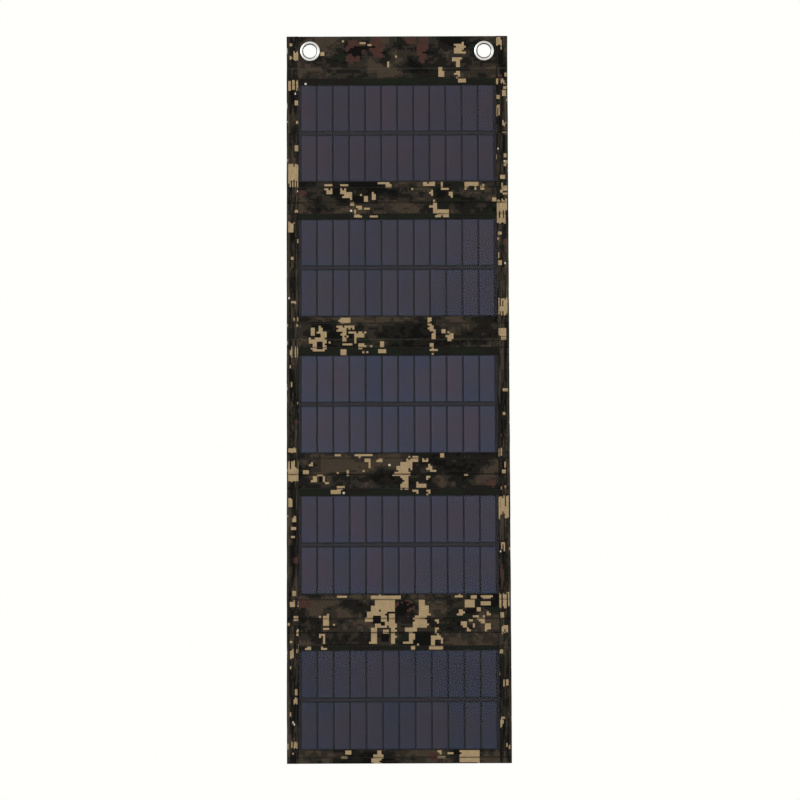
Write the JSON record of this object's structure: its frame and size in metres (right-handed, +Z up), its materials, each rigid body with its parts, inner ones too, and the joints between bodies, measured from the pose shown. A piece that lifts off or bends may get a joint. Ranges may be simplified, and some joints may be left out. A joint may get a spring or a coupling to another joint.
{
  "type": "folding solar blanket",
  "caption": "Hanging fabric solar blanket with stiff cell panels that folds along its cloth bands into a flat stack; eyelets at the top corners and a zipped regulator pouch on the back.",
  "frame": {"origin": "midway between the two eyelet centres, in the middle of the header's thickness", "axes": "+Z up along the hanging blanket, +X across it, -Y out of the side that the cells face"},
  "size_m": [0.246, 0.0222, 0.805],
  "materials": {
    "camouflage_cloth": "plain-weave polyester with a dark pixel print, matt",
    "edge_tape": "folded woven tape with the same print, matt",
    "webbing": "stiff woven webbing",
    "nickel_plate": "bright nickel plate on brass",
    "backing_board": "dark glass-fibre laminate",
    "solar_cell": "dark blue-grey silicon with an anti-reflection coat and fine grid fingers",
    "copper_ribbon": "dark-coated tinned copper ribbon",
    "clear_film": "clear satin film",
    "lead_jacket": "matt jacket",
    "zip_nylon": "nylon coil on woven tape",
    "zip_metal": "die-cast and plated",
    "case_plastic": "moulded, fine spark texture",
    "circuit_laminate": "green solder mask",
    "component_plastic": "moulded",
    "socket_steel": "pressed nickel-plated steel"
  },
  "bodies": {
    "header": {"header_front_cloth": "camouflage_cloth", "header_back_cloth": "camouflage_cloth", "header_edge_tapes": "edge_tape", "header_stiffener": "webbing", "left_eyelet": "nickel_plate", "right_eyelet": "nickel_plate", "eyelet_washers": "nickel_plate"},
    "panel_1": {"panel_1_front_cloth": "camouflage_cloth", "panel_1_back_cloth": "camouflage_cloth", "panel_1_edge_tapes": "edge_tape", "panel_1_board": "backing_board", "panel_1_cells": "solar_cell", "panel_1_ribbons": "copper_ribbon", "panel_1_film": "clear_film", "panel_1_leads": "lead_jacket"},
    "panel_2": {"panel_2_front_cloth": "camouflage_cloth", "panel_2_back_cloth": "camouflage_cloth", "panel_2_edge_tapes": "edge_tape", "panel_2_board": "backing_board", "panel_2_cells": "solar_cell", "panel_2_ribbons": "copper_ribbon", "panel_2_film": "clear_film", "panel_2_leads": "lead_jacket"},
    "panel_3": {"panel_3_front_cloth": "camouflage_cloth", "panel_3_back_cloth": "camouflage_cloth", "panel_3_edge_tapes": "edge_tape", "panel_3_board": "backing_board", "panel_3_cells": "solar_cell", "panel_3_ribbons": "copper_ribbon", "panel_3_film": "clear_film", "panel_3_leads": "lead_jacket"},
    "panel_4": {"panel_4_front_cloth": "camouflage_cloth", "panel_4_back_cloth": "camouflage_cloth", "panel_4_edge_tapes": "edge_tape", "panel_4_board": "backing_board", "panel_4_cells": "solar_cell", "panel_4_ribbons": "copper_ribbon", "panel_4_film": "clear_film", "panel_4_leads": "lead_jacket"},
    "panel_5": {"panel_5_front_cloth": "camouflage_cloth", "panel_5_back_cloth": "camouflage_cloth", "panel_5_edge_tapes": "edge_tape", "panel_5_board": "backing_board", "panel_5_cells": "solar_cell", "panel_5_ribbons": "copper_ribbon", "panel_5_film": "clear_film", "panel_5_leads": "lead_jacket", "pouch_cloth": "camouflage_cloth", "pouch_zip": "zip_nylon", "regulator_base": "case_plastic", "regulator_cover": "case_plastic", "circuit_board": "circuit_laminate", "circuit_components": "component_plastic", "outlet_socket": "socket_steel"},
    "wrap_spine": {"spine_front_cloth": "camouflage_cloth", "spine_back_cloth": "camouflage_cloth", "spine_edge_tapes": "edge_tape", "spine_leads": "lead_jacket"},
    "zip_slider": {"zip_slider": "zip_metal"},
    "zip_pull": {"zip_pull": "zip_metal"}
  },
  "joints": [
    {"name": "header_fold", "type": "hinge", "parent": "header", "child": "panel_1", "pos_m": [0, 0.00165, -0.02], "axis": [1, 0, 0], "range_deg": [0, 179.9]},
    {"name": "fold_1", "type": "hinge", "parent": "panel_1", "child": "panel_2", "pos_m": [0, -0.00215, -0.1705], "axis": [-1, 0, 0], "range_deg": [0, 179.9]},
    {"name": "fold_2", "type": "hinge", "parent": "panel_2", "child": "panel_3", "pos_m": [0, 0.00165, -0.323], "axis": [1, 0, 0], "range_deg": [0, 179.9]},
    {"name": "fold_3", "type": "hinge", "parent": "panel_3", "child": "panel_4", "pos_m": [0, -0.00215, -0.47225], "axis": [-1, 0, 0], "range_deg": [0, 179.9]},
    {"name": "wrap_fold_upper", "type": "hinge", "parent": "panel_4", "child": "wrap_spine", "pos_m": [0, -0.002, -0.6305], "axis": [-1, 0, 0], "range_deg": [0, 90]},
    {"name": "wrap_fold_lower", "type": "hinge", "parent": "wrap_spine", "child": "panel_5", "pos_m": [0, -0.002, -0.646], "axis": [-1, 0, 0], "range_deg": [0, 90]},
    {"name": "zip_slide", "type": "slide", "parent": "panel_5", "child": "zip_slider", "axis": [-1, 0, 0], "range_m": [0, 0.1]},
    {"name": "pull_swing", "type": "hinge", "parent": "zip_slider", "child": "zip_pull", "pos_m": [0.05, 0.01865, -0.695], "axis": [0, 0, -1], "range_deg": [0, 180]}
  ],
  "couplings": [
    {"joint": "wrap_fold_upper", "follows": "wrap_fold_lower", "ratio": 1}
  ]
}
